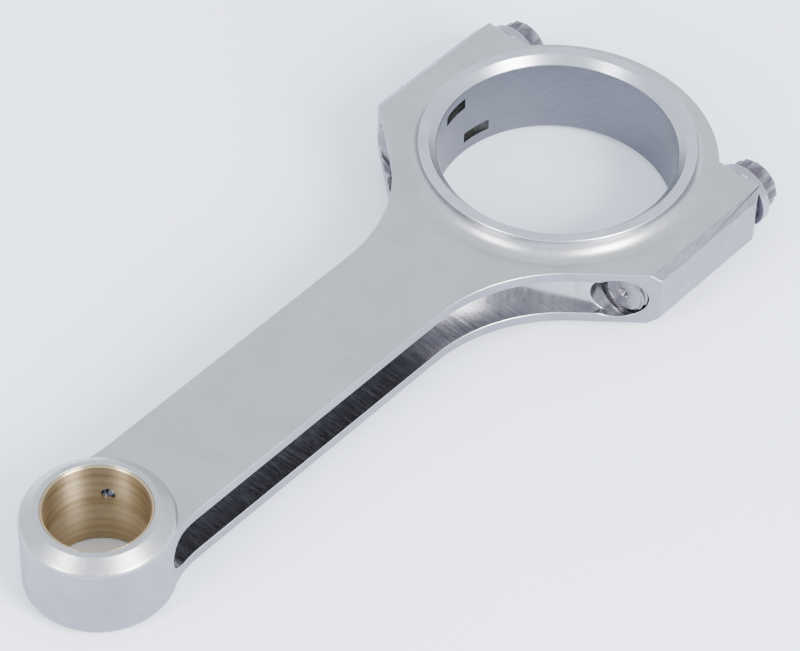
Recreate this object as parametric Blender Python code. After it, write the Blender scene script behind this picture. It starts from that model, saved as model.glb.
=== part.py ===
"""H-beam connecting rod, lying flat with its bore axes upright.

+Y runs along the rod from the small end to the big end, +Z along the bore axes. The origin is under the
middle of the rod's outer box. Profiles are drawn in rod coordinates: (0, 0) is the crankpin axis, the small
end is at negative y, and height 0 is the rod's mid-plane.
"""

import math

import bmesh
import bpy
from mathutils import Matrix, Vector

# Driving dimensions, in metres.
CENTRE_DISTANCE = 0.1524

BIG_BORE_RADIUS = 0.02825
ROD_WIDTH = 0.0239
BIG_BORE_CHAMFER = 0.0020
THRUST_FACE_WIDTH = 0.0023
RING_FILLET_SHARE = 0.93
CAP_THICKNESS = 0.00975

PIN_BORE_RADIUS = 0.011775
BUSH_WALL = 0.0008
BUSH_RECESS = 0.0001
BUSH_CHAMFER = 0.0003
SMALL_END_FACE_WIDTH = 0.0008
SMALL_END_BEVEL = 0.0034
SMALL_END_BEVEL_SHARE = 0.65
OIL_HOLE_RADIUS = 0.0016
OIL_HOLE_ANGLE = math.radians(34)
OIL_HOLE_HEIGHT = 0.0032

BEAM_WIDTH = 0.0274
FLANGE_THICKNESS = 0.0028
WEB_THICKNESS = 0.0052
SMALL_END_BLEND_RADIUS = 0.025
SHOULDER_FLARE_RADIUS = 0.040
CHANNEL_FLARE_RADIUS = 0.038
CHANNEL_BOSS_WALL = 0.0028
CHANNEL_RUNOUT_ANGLE = math.radians(23)
CHANNEL_BOLT_DEPTH = 0.0020
CHANNEL_STEP_LENGTH = 0.0064
CHANNEL_STEP_ANGLE = math.radians(31.8)
CHANNEL_FLARE_ANGLE = math.radians(37.5)

SHOULDER_DROP = 0.0142
SHOULDER_ANGLE = math.radians(39.8)
SHOULDER_CHAMFER = 0.0021
SHOULDER_CHAMFER_DROP = 0.0018
SEAT_HEIGHT = 0.0240
SEAT_CORNER = 0.0020
SEAT_CORNER_DROP = 0.0036

BOLT_RADIUS = 0.00555
BOLT_SHANK_RELIEF = 0.0006
BOLT_LENGTH = 0.0422
BOLT_THREAD_LENGTH = 0.0138
BOLT_TIP_CHAMFER = 0.0009
BOLT_FLANGE_OVERHANG = 0.00235
BOLT_FLANGE_THICKNESS = 0.0022
BOLT_FLANGE_RIM = 0.0011
BOLT_FLANGE_EDGE = 0.000275
BOLT_HEAD_OVERHANG = 0.00095
BOLT_POINT_DEPTH = 0.0007
BOLT_HEAD_HEIGHT = 0.0051
BOLT_DIMPLE_RADIUS = 0.0013
BOLT_DIMPLE_DEPTH = 0.0011
BOLT_POINTS = 12

# Steel left round each bolt hole: towards the crankpin bore, towards the shoulder's side, and over the dowel.
BORE_SIDE_WALL = 0.00135
SHOULDER_SIDE_WALL = 0.0021
DOWEL_COVER = 0.001275

DOWEL_WALL = 0.0006
DOWEL_REACH = 0.0039

TANG_WIDTH = 0.0026
TANG_DEPTH = 0.0014
TANG_LENGTH = 0.0062
TANG_HEIGHTS = {"rod": 0.0061, "cap": -0.0054}

# Named clearances.
JOINT_GAP = 0.0003
BUSH_GAP = 0.0003
BOLT_GAP = 0.00025
SPOTFACE_GAP = 0.0004
DOWEL_GAP = 0.00025
END_GAP = 0.0003

# Sizes that follow from the driving dimensions.
RING_RADIUS = BIG_BORE_RADIUS + BIG_BORE_CHAMFER + THRUST_FACE_WIDTH
CAP_RADIUS = BIG_BORE_RADIUS + CAP_THICKNESS
BUSH_RADIUS = PIN_BORE_RADIUS + BUSH_WALL
BUSH_SEAT_RADIUS = BUSH_RADIUS + BUSH_GAP
SMALL_FACE_RADIUS = BUSH_SEAT_RADIUS + SMALL_END_FACE_WIDTH
BOSS_RADIUS = SMALL_FACE_RADIUS + SMALL_END_BEVEL
CHANNEL_BOSS_RADIUS = BUSH_SEAT_RADIUS + CHANNEL_BOSS_WALL
BOLT_SHANK_RADIUS = BOLT_RADIUS - BOLT_SHANK_RELIEF
BOLT_FLANGE_RADIUS = BOLT_RADIUS + BOLT_FLANGE_OVERHANG
BOLT_HEAD_RADIUS = BOLT_RADIUS + BOLT_HEAD_OVERHANG
BOLT_HOLE_RADIUS = BOLT_RADIUS + BOLT_GAP
SPOTFACE_RADIUS = BOLT_FLANGE_RADIUS + SPOTFACE_GAP
DOWEL_BORE_RADIUS = BOLT_RADIUS + BOLT_GAP / 2
DOWEL_RADIUS = DOWEL_BORE_RADIUS + DOWEL_WALL
DOWEL_SEAT_RADIUS = DOWEL_RADIUS + DOWEL_GAP
DOWEL_SEAT_DEPTH = DOWEL_REACH + END_GAP
BOLT_X = BIG_BORE_RADIUS + BORE_SIDE_WALL + BOLT_HOLE_RADIUS
HALF_SHOULDER = BOLT_X + BOLT_HOLE_RADIUS + SHOULDER_SIDE_WALL
HALF_WIDTH = ROD_WIDTH / 2
HALF_PLATE = DOWEL_SEAT_RADIUS + DOWEL_COVER
HALF_BEAM = BEAM_WIDTH / 2
HALF_CHANNEL = HALF_PLATE - FLANGE_THICKNESS
HALF_WEB = WEB_THICKNESS / 2
SMALL_END_BEVEL_DROP = SMALL_END_BEVEL_SHARE * (HALF_WIDTH - HALF_PLATE)
SMALL_CENTRE = Vector((0, -CENTRE_DISTANCE))

# Where the rod's mid-plane and crankpin axis stand in the part's frame.
BIG_END_Y = (CENTRE_DISTANCE + BOSS_RADIUS - CAP_RADIUS) / 2
ROD_ORIGIN = Vector((0, BIG_END_Y, HALF_WIDTH))

# How far a cutter or a stock runs past what it shapes, and how near two points count as one.
PAST = 0.006
BEVEL_OVERRUN = 0.0003
WELD = 1e-7

# Straight sides per full turn, and per arc of an outline.
BORE_SIDES = 96
BOSS_SIDES = 72
BUSH_SIDES = 64
BOLT_SIDES = 32
DRILL_SIDES = 20
BOSS_ARC_STEPS = 28
CAP_ARC_STEPS = 16
FLARE_ARC_STEPS = 12
CHANNEL_END_STEPS = 10
FILLET_STEPS = 6

SHARP_ANGLE = math.radians(30)

# Name, base colour, metallic, roughness.
FINISHES = {
    "machined_steel": ((0.50, 0.51, 0.53, 1), 1.0, 0.34),
    "bolt_steel": ((0.36, 0.35, 0.37, 1), 1.0, 0.38),
    "dowel_steel": ((0.42, 0.42, 0.44, 1), 1.0, 0.30),
    "bronze": ((0.60, 0.47, 0.28, 1), 1.0, 0.28),
}


def finish(name):
    colour, metallic, roughness = FINISHES[name]
    material = bpy.data.materials.new(name)
    material.use_nodes = True
    shader = material.node_tree.nodes["Principled BSDF"]
    shader.inputs["Base Color"].default_value = colour
    shader.inputs["Metallic"].default_value = metallic
    shader.inputs["Roughness"].default_value = roughness
    return material


def new_object(name, mesh_maker, place=ROD_ORIGIN):
    """An object whose mesh a bmesh function fills in, in rod coordinates."""
    bm = bmesh.new()
    mesh_maker(bm)
    bmesh.ops.recalc_face_normals(bm, faces=bm.faces)
    mesh = bpy.data.meshes.new(name)
    bm.to_mesh(mesh)
    bm.free()
    obj = bpy.data.objects.new(name, mesh)
    obj.location = place
    bpy.context.scene.collection.objects.link(obj)
    return obj


def arc(centre, radius, start, end, steps):
    """Points along an arc, both ends included. Angles are in degrees."""
    angles = [math.radians(start + (end - start) * i / steps) for i in range(steps + 1)]
    return [Vector((centre[0] + radius * math.cos(a), centre[1] + radius * math.sin(a))) for a in angles]


def prism(name, outline, low, high, place=ROD_ORIGIN):
    """A flat outline in x and y, extruded from one height to another."""

    def make(bm):
        face = bm.faces.new([bm.verts.new((x, y, low)) for x, y in outline])
        raised = bmesh.ops.extrude_face_region(bm, geom=[face])["geom"]
        top = [v for v in raised if isinstance(v, bmesh.types.BMVert)]
        bmesh.ops.translate(bm, verts=top, vec=(0, 0, high - low))

    return new_object(name, make, place)


def turned(name, profile, steps, place=ROD_ORIGIN):
    """A closed profile of (radius, height) points, spun round the object's own Z axis."""

    def make(bm):
        verts = [bm.verts.new((r, 0, z)) for r, z in profile]
        pairs = zip(verts, verts[1:] + verts[:1])
        edges = [bm.edges.new((a, b)) for a, b in pairs if a.co.x or b.co.x]
        bmesh.ops.spin(
            bm,
            geom=verts + edges,
            cent=(0, 0, 0),
            axis=(0, 0, 1),
            angle=math.tau,
            steps=steps,
            use_merge=True,
        )
        bmesh.ops.remove_doubles(bm, verts=bm.verts, dist=WELD)

    return new_object(name, make, place)


def round_bar(name, radius, low, high, steps, place=ROD_ORIGIN):
    return turned(name, [(0, low), (radius, low), (radius, high), (0, high)], steps, place)


def along_rod(obj, x, y=0.0):
    """Turns an object's Z axis along the rod, and sets it on a line parallel to the rod at x."""
    obj.rotation_euler = (-math.pi / 2, 0, 0)
    obj.location = ROD_ORIGIN + Vector((x, y, 0))
    return obj


def helper(obj):
    obj.hide_render = True
    obj.display_type = "WIRE"
    return obj


def combine(obj, operation, others):
    """One Boolean between an object and a group of others, so that shared corners are worked out together."""
    group = bpy.data.collections.new(f"{obj.name} {operation.lower()}")
    bpy.context.scene.collection.children.link(group)
    for other in others:
        group.objects.link(helper(other))
    modifier = obj.modifiers.new(group.name, "BOOLEAN")
    modifier.operation = operation
    modifier.solver = "EXACT"
    modifier.operand_type = "COLLECTION"
    modifier.collection = group


def finished(obj, finish_material):
    obj.data.materials.append(finish_material)
    obj.data.shade_smooth()
    obj.data.set_sharp_from_angle(angle=SHARP_ANGLE)


def mirrored(half):
    """A right-hand outline, closed by its mirror image across x = 0."""
    return half + [Vector((-p.x, p.y)) for p in reversed(half) if p.x > WELD]


def shoulder_underside(x):
    """The y of the slanted shoulder face at x."""
    return -SHOULDER_DROP - (HALF_SHOULDER - x) * math.tan(SHOULDER_ANGLE)


def rod_outline():
    """The rod seen along its bores, from the small end up to the parting face."""
    reach = HALF_BEAM + SMALL_END_BLEND_RADIUS
    rise = math.sqrt((BOSS_RADIUS + SMALL_END_BLEND_RADIUS) ** 2 - reach**2)
    blend_centre = SMALL_CENTRE + Vector((reach, rise))
    blend_angle = math.degrees(math.atan2(rise, reach))
    flare_turn = 90 - math.degrees(SHOULDER_ANGLE)
    flare_x = HALF_BEAM + SHOULDER_FLARE_RADIUS
    flare_end_x = flare_x - SHOULDER_FLARE_RADIUS * math.cos(math.radians(flare_turn))
    flare_drop = SHOULDER_FLARE_RADIUS * math.sin(math.radians(flare_turn))
    flare_centre = Vector((flare_x, shoulder_underside(flare_end_x) - flare_drop))
    half = arc(SMALL_CENTRE, BOSS_RADIUS, -90, blend_angle, BOSS_ARC_STEPS)
    half += arc(blend_centre, SMALL_END_BLEND_RADIUS, 180 + blend_angle, 180, FILLET_STEPS)[1:]
    half += arc(flare_centre, SHOULDER_FLARE_RADIUS, 180, 180 - flare_turn, FLARE_ARC_STEPS)
    half += [Vector((HALF_SHOULDER, -SHOULDER_DROP)), Vector((HALF_SHOULDER, -JOINT_GAP / 2))]
    return mirrored(half)


def cap_outline():
    """The cap seen along its bore, from the parting face round to its crown."""
    foot = math.degrees(math.asin(SEAT_HEIGHT / CAP_RADIUS))
    half = [Vector((HALF_SHOULDER, JOINT_GAP / 2))]
    half += [Vector((HALF_SHOULDER, SEAT_HEIGHT - SEAT_CORNER_DROP))]
    half += [Vector((HALF_SHOULDER - SEAT_CORNER, SEAT_HEIGHT))]
    half += arc((0, 0), CAP_RADIUS, foot, 90, CAP_ARC_STEPS)
    return mirrored(half)


def raised_profile(face_radius, foot, fillet):
    """A flat face, a side down to the top of a concave fillet, and the fillet down to the plate.

    It is mirrored below the mid-plane. The side is upright where the foot has the face's radius.
    """
    curve = arc((foot + fillet, HALF_PLATE + fillet), fillet, 180, 270, FILLET_STEPS)
    upper = [(0, HALF_WIDTH), (face_radius, HALF_WIDTH)] + [tuple(p) for p in curve]
    return upper + [(r, -z) for r, z in reversed(upper)]


def ring_profile():
    return raised_profile(RING_RADIUS, RING_RADIUS, (HALF_WIDTH - HALF_PLATE) * RING_FILLET_SHARE)


def boss_profile():
    """The small end: flat face, wide bevel, then a tight fillet just outside the boss's own outline."""
    foot = BOSS_RADIUS + BEVEL_OVERRUN * SMALL_END_BEVEL / SMALL_END_BEVEL_DROP
    return raised_profile(
        SMALL_FACE_RADIUS, foot, HALF_WIDTH - SMALL_END_BEVEL_DROP - HALF_PLATE - BEVEL_OVERRUN
    )


def height_stock():
    """Every height of the rod, with no side cut to outline: the plate, the thrust rings and the small end."""
    side, low_side = HALF_SHOULDER, HALF_SHOULDER - SHOULDER_CHAMFER
    high, low = HALF_PLATE, HALF_PLATE - SHOULDER_CHAMFER_DROP
    section = [(side, low), (low_side, high), (-low_side, high), (-side, low)]
    section += [(-x, -z) for x, z in section]
    start = -(CENTRE_DISTANCE + BOSS_RADIUS + PAST)
    plate = prism("plate_stock", section, start, CAP_RADIUS + PAST)
    plate.data.transform(Matrix.Rotation(-math.pi / 2, 4, "X"))
    ring = turned("ring_stock", ring_profile(), BORE_SIDES)
    boss = turned("boss_stock", boss_profile(), BOSS_SIDES)
    boss.location = ROD_ORIGIN + SMALL_CENTRE.to_3d()
    combine(plate, "UNION", [ring, boss])
    return helper(plate)


def big_bore_cutter():
    flare = BIG_BORE_RADIUS + BIG_BORE_CHAMFER + PAST
    top = HALF_WIDTH + PAST
    upper = [(0, top), (flare, top), (BIG_BORE_RADIUS, HALF_WIDTH - BIG_BORE_CHAMFER)]
    return turned("big_bore", upper + [(r, -z) for r, z in reversed(upper)], BORE_SIDES)


def small_bore_cutter():
    reach = HALF_WIDTH + PAST
    bore = round_bar("small_bore", BUSH_SEAT_RADIUS, -reach, reach, BUSH_SIDES)
    bore.location = ROD_ORIGIN + SMALL_CENTRE.to_3d()
    return bore


def oil_hole_cutter(name):
    """A drill from the wrist pin's axis out into the left channel."""
    bar = round_bar(name, OIL_HOLE_RADIUS, 0, BOSS_RADIUS + PAST, DRILL_SIDES)
    bar.rotation_euler = (-math.pi / 2, 0, OIL_HOLE_ANGLE)
    bar.location = ROD_ORIGIN + Vector((0, -CENTRE_DISTANCE, OIL_HOLE_HEIGHT))
    return bar


def channel_small_end():
    """The channel's end round the small-end boss, from where it runs out of the boss's side to the web."""
    turn = math.acos(CHANNEL_BOSS_RADIUS / BOSS_RADIUS)
    start = CHANNEL_RUNOUT_ANGLE + turn
    web_angle = math.degrees(math.acos(HALF_WEB / CHANNEL_BOSS_RADIUS))
    curve = arc(SMALL_CENTRE, CHANNEL_BOSS_RADIUS, math.degrees(start), web_angle, CHANNEL_END_STEPS)
    outwards = Vector((math.sin(start), -math.cos(start)))
    return [curve[0] + outwards * (BOSS_RADIUS * math.sin(turn) + PAST)] + curve


def channel_floor():
    """The web's side, its flare under the shoulder, a ramp, a crease and a shallower step past the bolt."""
    bolt_side = BOLT_X - BOLT_HOLE_RADIUS
    drop = CHANNEL_BOLT_DEPTH / math.cos(SHOULDER_ANGLE)
    step_end = Vector((bolt_side, shoulder_underside(bolt_side) + drop))
    step = Vector((math.cos(CHANNEL_STEP_ANGLE), math.sin(CHANNEL_STEP_ANGLE)))
    crease = step_end - CHANNEL_STEP_LENGTH * step
    turn = math.pi / 2 - CHANNEL_FLARE_ANGLE
    ramp_reach = crease.x - HALF_WEB - CHANNEL_FLARE_RADIUS * (1 - math.cos(turn))
    flare_top = crease.y - ramp_reach * math.tan(CHANNEL_FLARE_ANGLE)
    centre = (HALF_WEB + CHANNEL_FLARE_RADIUS, flare_top - CHANNEL_FLARE_RADIUS * math.sin(turn))
    flare = arc(centre, CHANNEL_FLARE_RADIUS, 180, 180 - math.degrees(turn), FLARE_ARC_STEPS)
    return flare + [crease, step_end + step * BOLT_HOLE_RADIUS]


def channel_outline():
    """The right-hand channel seen along the bores: round the small end, up the web and out to the bolt."""
    small_end = channel_small_end()
    floor = channel_floor()
    past_bolt = Vector((floor[-1].x, shoulder_underside(floor[-1].x) - PAST))
    outside = [Vector((HALF_SHOULDER, past_bolt.y)), Vector((HALF_SHOULDER, small_end[0].y))]
    return small_end + floor + [past_bolt] + outside


def channel_cutters():
    """The two side channels, the left one a mirror image of the right."""
    right = channel_outline()
    left = [Vector((-p.x, p.y)) for p in reversed(right)]
    return [
        prism(f"channel_{side}", outline, -HALF_CHANNEL, HALF_CHANNEL)
        for side, outline in (("right", right), ("left", left))
    ]


def bolt_hole_cutter(side, x):
    """The through hole for a bolt, its dowel seat at the parting face and the spotface under its flange."""
    drill_end = shoulder_underside(BOLT_X - BOLT_HOLE_RADIUS) - PAST
    profile = [
        (0, drill_end),
        (BOLT_HOLE_RADIUS, drill_end),
        (BOLT_HOLE_RADIUS, -DOWEL_SEAT_DEPTH),
        (DOWEL_SEAT_RADIUS, -DOWEL_SEAT_DEPTH),
        (DOWEL_SEAT_RADIUS, DOWEL_SEAT_DEPTH),
        (BOLT_HOLE_RADIUS, DOWEL_SEAT_DEPTH),
        (BOLT_HOLE_RADIUS, SEAT_HEIGHT),
        (SPOTFACE_RADIUS, SEAT_HEIGHT),
        (SPOTFACE_RADIUS, CAP_RADIUS + PAST),
        (0, CAP_RADIUS + PAST),
    ]
    return along_rod(turned(f"bolt_hole_{side}", profile, BOLT_SIDES), x)


def tang_cutter(half):
    """The slot that a bearing shell's tang sits in, running out into the bore wall."""
    height = TANG_HEIGHTS[half]
    sign = -1 if half == "rod" else 1
    depth_x = -(BIG_BORE_RADIUS + TANG_DEPTH)
    outline = [
        Vector((depth_x, -sign * TANG_DEPTH)),
        Vector((depth_x, sign * TANG_DEPTH)),
        Vector((-BIG_BORE_RADIUS + TANG_DEPTH, sign * (TANG_LENGTH + TANG_DEPTH))),
        Vector((-BIG_BORE_RADIUS + 2 * TANG_DEPTH, -sign * TANG_DEPTH)),
    ]
    return prism(f"tang_{half}", outline, height - TANG_WIDTH / 2, height + TANG_WIDTH / 2)


def make_rod_halves(steel):
    stock = height_stock()
    reach = HALF_WIDTH + PAST
    rod = prism("rod_body", rod_outline(), -reach, reach)
    cap = prism("bearing_cap", cap_outline(), -reach, reach)
    shared = [big_bore_cutter(), bolt_hole_cutter("right", BOLT_X), bolt_hole_cutter("left", -BOLT_X)]
    own = {
        rod: [small_bore_cutter(), *channel_cutters(), oil_hole_cutter("rod_oil_hole"), tang_cutter("rod")],
        cap: [tang_cutter("cap")],
    }
    for half, cutters in own.items():
        combine(half, "INTERSECT", [stock])
        combine(half, "DIFFERENCE", shared + cutters)
        finished(half, steel)


def make_bush(bronze):
    half = HALF_WIDTH - BUSH_RECESS
    upper = [
        (PIN_BORE_RADIUS, half - BUSH_CHAMFER),
        (PIN_BORE_RADIUS + BUSH_CHAMFER, half),
        (BUSH_RADIUS, half),
    ]
    bush = turned("small_end_bush", upper + [(r, -z) for r, z in reversed(upper)], BUSH_SIDES)
    bush.location = ROD_ORIGIN + SMALL_CENTRE.to_3d()
    combine(bush, "DIFFERENCE", [oil_hole_cutter("bush_oil_hole")])
    finished(bush, bronze)


def bolt_profile():
    """Half of a bolt's section. Height 0 is the underside of its flange, and the head is above."""
    tip = -BOLT_LENGTH
    thread_top = tip + BOLT_THREAD_LENGTH
    return [
        (0, tip + BOLT_DIMPLE_DEPTH),
        (BOLT_DIMPLE_RADIUS, tip),
        (BOLT_RADIUS - BOLT_TIP_CHAMFER, tip),
        (BOLT_RADIUS, tip + BOLT_TIP_CHAMFER),
        (BOLT_RADIUS, thread_top),
        (BOLT_SHANK_RADIUS, thread_top + BOLT_RADIUS - BOLT_SHANK_RADIUS),
        (BOLT_SHANK_RADIUS, 0),
        (BOLT_FLANGE_RADIUS - BOLT_FLANGE_EDGE, 0),
        (BOLT_FLANGE_RADIUS, BOLT_FLANGE_EDGE),
        (BOLT_FLANGE_RADIUS, BOLT_FLANGE_RIM),
        (BOLT_HEAD_RADIUS - BOLT_POINT_DEPTH, BOLT_FLANGE_THICKNESS),
        (0, BOLT_FLANGE_THICKNESS),
    ]


def bolt_head_outline():
    """Twelve points and twelve roots, as two hexagons turned against each other."""
    count = BOLT_POINTS * 2
    radii = [BOLT_HEAD_RADIUS - BOLT_POINT_DEPTH * (i % 2) for i in range(count)]
    return [
        Vector((r * math.cos(math.tau * i / count), r * math.sin(math.tau * i / count)))
        for i, r in enumerate(radii)
    ]


def make_bolt(side, x, steel):
    top = BOLT_FLANGE_THICKNESS + BOLT_HEAD_HEIGHT
    bolt = turned(f"cap_bolt_{side}", bolt_profile(), BOLT_SIDES)
    head = prism(f"head_{side}", bolt_head_outline(), BOLT_FLANGE_RIM, top)
    high = top + BOLT_DIMPLE_DEPTH
    cone = [(0, top - BOLT_DIMPLE_DEPTH), (BOLT_DIMPLE_RADIUS * 2, high), (0, high)]
    dimple = turned(f"head_dimple_{side}", cone, DRILL_SIDES)
    for piece in (bolt, head, dimple):
        along_rod(piece, x, SEAT_HEIGHT + END_GAP)
    combine(bolt, "UNION", [head])
    combine(bolt, "DIFFERENCE", [dimple])
    finished(bolt, steel)


def make_dowel(side, x, steel):
    profile = [
        (DOWEL_BORE_RADIUS, -DOWEL_REACH),
        (DOWEL_RADIUS, -DOWEL_REACH),
        (DOWEL_RADIUS, DOWEL_REACH),
        (DOWEL_BORE_RADIUS, DOWEL_REACH),
    ]
    dowel = turned(f"dowel_sleeve_{side}", profile, BOLT_SIDES)
    along_rod(dowel, x)
    finished(dowel, steel)


def main():
    for obj in list(bpy.data.objects):
        bpy.data.objects.remove(obj, do_unlink=True)
    finishes = {name: finish(name) for name in FINISHES}
    make_rod_halves(finishes["machined_steel"])
    make_bush(finishes["bronze"])
    for side, x in (("left", -BOLT_X), ("right", BOLT_X)):
        make_bolt(side, x, finishes["bolt_steel"])
        make_dowel(side, x, finishes["dowel_steel"])


main()
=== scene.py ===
import math

import bmesh
import bpy
from mathutils import Matrix, Vector


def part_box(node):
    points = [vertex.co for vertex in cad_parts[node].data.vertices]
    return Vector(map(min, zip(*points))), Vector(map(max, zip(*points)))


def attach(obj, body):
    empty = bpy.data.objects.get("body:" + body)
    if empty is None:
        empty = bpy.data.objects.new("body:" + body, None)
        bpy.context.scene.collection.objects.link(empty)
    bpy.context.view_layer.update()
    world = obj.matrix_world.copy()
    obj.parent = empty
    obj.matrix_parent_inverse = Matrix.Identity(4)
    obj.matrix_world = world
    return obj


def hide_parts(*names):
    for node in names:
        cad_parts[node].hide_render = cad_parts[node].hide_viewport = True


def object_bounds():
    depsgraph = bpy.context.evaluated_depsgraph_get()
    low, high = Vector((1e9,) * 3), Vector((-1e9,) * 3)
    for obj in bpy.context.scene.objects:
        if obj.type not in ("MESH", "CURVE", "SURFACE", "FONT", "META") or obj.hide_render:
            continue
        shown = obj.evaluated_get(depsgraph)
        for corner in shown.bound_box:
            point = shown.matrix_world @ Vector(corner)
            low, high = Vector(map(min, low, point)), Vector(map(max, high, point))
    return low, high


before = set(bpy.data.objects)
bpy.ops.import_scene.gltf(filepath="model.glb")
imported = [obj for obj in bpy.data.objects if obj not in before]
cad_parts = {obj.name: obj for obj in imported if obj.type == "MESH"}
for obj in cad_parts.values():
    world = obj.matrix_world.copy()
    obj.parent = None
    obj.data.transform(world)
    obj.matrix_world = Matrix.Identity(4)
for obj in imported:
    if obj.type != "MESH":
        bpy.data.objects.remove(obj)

cad_low, cad_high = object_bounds()

# Sizes in millimetres, in rod coordinates: the crankpin axis is the Z axis, the small end lies at negative y,
# and height 0 is the middle of the rod's width. Round sizes are radii.

# The whole rod: its centre distance, half its width over the thrust faces and half its plate's thickness.
CENTRES = 152.4
HALF_WIDTH = 11.95
PLATE = 7.8

# The big end: its bore, the thrust ring with its rim and its fillet down to the plate, the cap's crown, and
# the gap between the rod and its cap.
BORE = 28.25
BORE_CHAMFER = 2.0
RING = 32.55
RING_RIM = 0.45
RING_FILLET = 3.86
CAP_CROWN = 38.0
PARTING = 0.03

# The small end: its side, its top face, the drop and the rounding of the bevel between them, and the bush in
# its seat, which stops short of the faces and has chamfered lips.
BOSS = 17.075
BOSS_FACE = 13.675
BOSS_DROP = 2.7
BOSS_ROUNDING = 1.5
BUSH_BORE = 11.775
BUSH_OUTSIDE = 12.38
BUSH_SEAT = 12.4
BUSH_SHY = 0.1
BUSH_LIP = 0.3

# The oil hole through the boss and the bush: its size, its direction round the pin and its height.
OIL_HOLE = 1.6
OIL_HOLE_TURN = math.radians(34)
OIL_HOLE_HEIGHT = 3.2

# Half the beam's breadth, its blend into the small end and its flare into the shoulders.
BEAM = 13.7
BLEND = 25.0
FLARE = 40.0

# The shoulders: half their breadth, the length of their sides, the slope of their undersides, and the chamfer
# along their sides (x, z). The bolts' seats on the cap have cut corners (x, y).
SHOULDER = 43.3
SHOULDER_DROP = 14.2
SHOULDER_SLOPE = math.radians(39.8)
SIDE_CHAMFER = (2.1, 1.8)
SEAT = 24.0
SEAT_CORNER = (2.0, 3.6)

# The side channels: half their height, half the web between them, their floor round the small end with the
# direction in which it leaves the boss's side, their round end, their flare, and the ramp and step beside the
# bolt's tip. The step ends at a set depth behind the shoulder's underside.
CHANNEL = 5.0
WEB = 2.6
CHANNEL_BOSS = 15.675
CHANNEL_START = math.radians(23)
CHANNEL_END = 7.2
CHANNEL_FLARE = 38.0
RAMP_SLOPE = math.radians(37.5)
STEP_SLOPE = math.radians(31.8)
STEP_LENGTH = 6.4
STEP_DEPTH = 2.0

# The slots for the bearing shells' tangs: their height in the rod and in the cap, their depth in each, their
# length and their width.
TANG_HEIGHT = {"rod": 6.1, "cap": -5.4}
TANG_DEPTH = {"rod": 2.1, "cap": 1.9}
TANG_LENGTH = 7.0
TANG_WIDTH = 3.0

# The bolts' place, hole and spotface, and the dowels' seat (radius, depth).
BOLT_X = 35.4
BOLT_HOLE = 5.8
SPOTFACE = 8.3
DOWEL_SEAT = (6.525, 4.2)

# The bolts: thread, shank, flange and twelve-point head. The thread starts at a smaller crest and deepens
# over its first millimetre.
BOLT = 5.55
BOLT_LENGTH = 42.2
SEAT_GAP = 0.3
THREAD_LENGTH = 13.8
PITCH = 1.27
THREAD_DEPTH = 0.72
THREAD_ROOT = 4.6
THREAD_START = 4.7
TIP_EDGE = 0.12
SHANK = 4.95
BOLT_FLANGE = 7.9
FLANGE_THICKNESS = 2.6
FLANGE_RIM = 1.75
HEAD = 6.4
HEAD_HEIGHT = 4.7
HEAD_VALLEY = 0.62

# The dowels: bore, outside, half their length and the chamfer on their ends.
DOWEL_BORE = 5.675
DOWEL = 6.275
DOWEL_REACH = 3.9
DOWEL_CHAMFER = 0.25

# A cutter or a stock runs this far past the metal, and a lathe profile starts this far from its axis.
PAST = 6.0
CORE = 0.5

# The breaks on sharp edges, the angle from which an edge counts as sharp, and how close points have to lie to
# be joined: those drawn on the same spot, and those that a Boolean leaves side by side.
EDGE_BREAK = 0.26
BORE_BREAK = 0.06
SHARP = math.radians(28)
SAME_SPOT = 0.001
SIDE_BY_SIDE = 0.004

# A place this near to a surface counts as on it, one this near to an edge as beside it, and a face whose
# normal has less than this along an axis runs along that axis.
ON_IT = 0.05
BESIDE_IT = 0.3
ALONG_IT = 0.3

# Sides of round cuts and turned pieces, fine enough that no facet shows.
BORE_SIDES = 180
BOSS_SIDES = 144
HEAD_SIDES = 96
HOLE_SIDES = 64
BOLT_SIDES = 48
OIL_SIDES = 32

big_end_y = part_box("bearing_cap")[1].y - CAP_CROWN / 1000
mid_height = (cad_low.z + cad_high.z) / 2
FRAME_PLACE = Matrix.Translation((0, big_end_y, mid_height)) @ Matrix.Scale(0.001, 4)


# ---------------------------------------------------------------- modelling, in millimetres


def only(obj):
    """Selects one object and nothing else."""
    bpy.ops.object.select_all(action="DESELECT")
    obj.select_set(True)
    bpy.context.view_layer.objects.active = obj


def edit(obj, mode="VERT"):
    only(obj)
    bpy.ops.object.mode_set(mode="EDIT")
    bpy.ops.mesh.select_mode(type=mode)
    bpy.ops.mesh.select_all(action="SELECT")


def leave_edit():
    bpy.ops.object.mode_set(mode="OBJECT")


def new_primitive(name):
    obj = bpy.context.object
    obj.name = name
    obj.data.name = name
    only(obj)
    bpy.ops.object.transform_apply(location=True, rotation=True, scale=True)
    return obj


def apply_modifier(obj, kind, **settings):
    only(obj)
    modifier = obj.modifiers.new(kind.title(), kind)
    for key, value in settings.items():
        setattr(modifier, key, value)
    bpy.ops.object.modifier_apply(modifier=modifier.name)


def set_down(obj, place):
    """Puts an object in its place and writes that place into its mesh."""
    only(obj)
    obj.matrix_world = place
    bpy.ops.object.transform_apply(location=True, rotation=True, scale=True)
    return obj


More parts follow.
